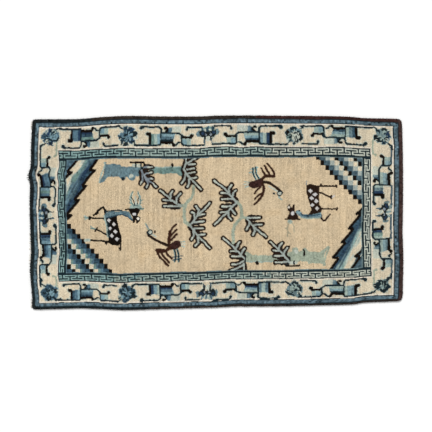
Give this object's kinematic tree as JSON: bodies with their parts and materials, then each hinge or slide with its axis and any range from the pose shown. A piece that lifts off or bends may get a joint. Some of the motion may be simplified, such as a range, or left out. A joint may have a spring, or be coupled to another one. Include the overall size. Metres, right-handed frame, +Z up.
{
  "type": "chinese rug",
  "caption": "Flat rectangular hand-knotted wool pile rug with an uneven outline and rounded rim, a floor covering that lies face up.",
  "frame": {"origin": "centre of the rug's outline, on the floor under it", "axes": "+X along the rug's length, +Y across its width towards the back edge, +Z up out of the pile"},
  "size_m": [1.3084, 0.6787, 0.009],
  "materials": {
    "wool_pile": "matt knotted wool pile in camel, ivory, blues and dark brown"
  },
  "bodies": {
    "root": {"rug": "wool_pile"}
  },
  "joints": []
}
